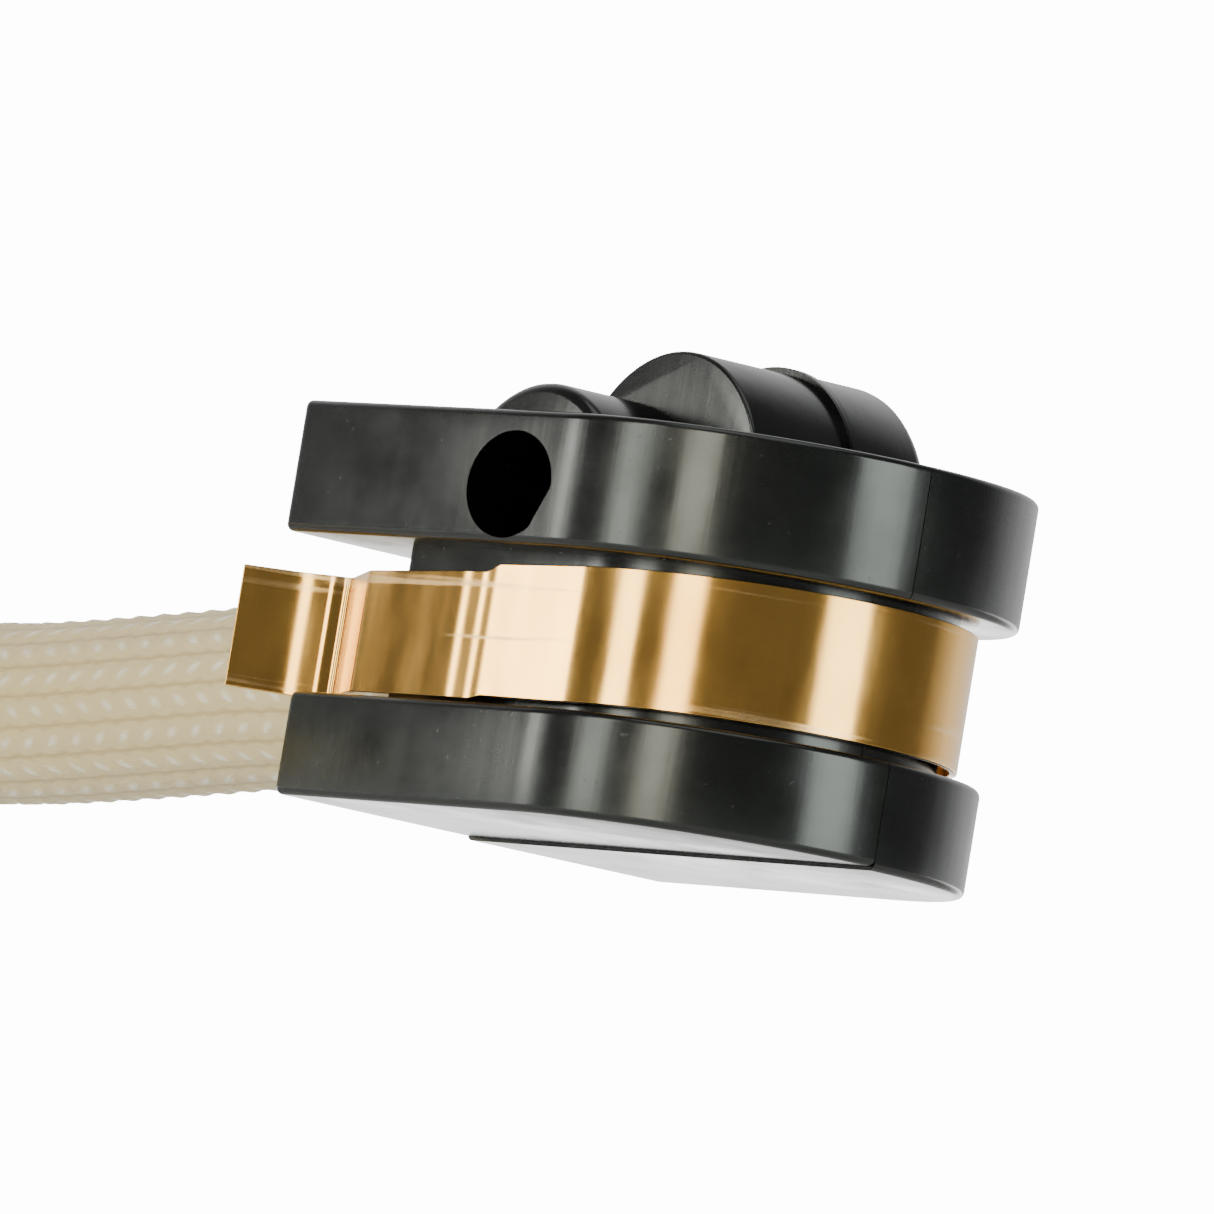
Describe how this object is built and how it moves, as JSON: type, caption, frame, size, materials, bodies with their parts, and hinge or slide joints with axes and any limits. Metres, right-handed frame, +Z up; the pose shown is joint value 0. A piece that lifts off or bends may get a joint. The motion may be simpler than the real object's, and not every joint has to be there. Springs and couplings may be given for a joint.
{
  "type": "cord lock",
  "caption": "Moulded two-part cord lock with rounded end, brass spring clip round its waist, toothed cam in a top barrel, and a round braided cord leaving the flat end.",
  "frame": {"origin": "on the base plane, under the middle of the lock's length and width (from the clip's tips to the rounded end); the cord is left out", "axes": "+Z up out of the barrel, +X towards the rounded end, the cord leaves along -X, and the parting plane of the two halves is Y = 0 up to the groove and Y = -0.45 mm above it"},
  "size_m": [0.1283, 0.0407, 0.0131],
  "materials": {
    "body_plastic": "black moulded, soft gloss",
    "clip_brass": "thin rolled sheet, lightly scratched",
    "cam_steel": "dark hardened steel",
    "pin_steel": "bright drawn steel",
    "ferrule_metal": "crimped sheet",
    "cord_braid": "silky round braid, cream",
    "tie_fabric": "woven hook-and-loop band",
    "tip_plastic": "shrunk sleeve"
  },
  "bodies": {
    "lock_body": {"front_shell": "body_plastic", "rear_shell": "body_plastic", "spring_clip": "clip_brass", "cam_pin": "pin_steel", "cam_spring": "pin_steel", "washer_front": "pin_steel", "washer_rear": "pin_steel", "anvil_plate": "cam_steel", "cord_ferrule": "ferrule_metal", "dowel_1": "pin_steel", "dowel_2": "pin_steel", "dowel_3": "pin_steel", "cord": "cord_braid", "cord_hank": "cord_braid", "hank_tie": "tie_fabric", "cord_tip": "tip_plastic"},
    "cam": {"lock_cam": "cam_steel"}
  },
  "joints": [
    {"name": "cam_pivot", "type": "hinge", "parent": "lock_body", "child": "cam", "pos_m": [0.00293, 0, 0.00905], "axis": [0, 1, 0], "range_deg": [-36, 0], "stiffness_Nm_per_rad": 0.00002, "springref_deg": 5.73, "deforming": ["cam_spring"]}
  ]
}
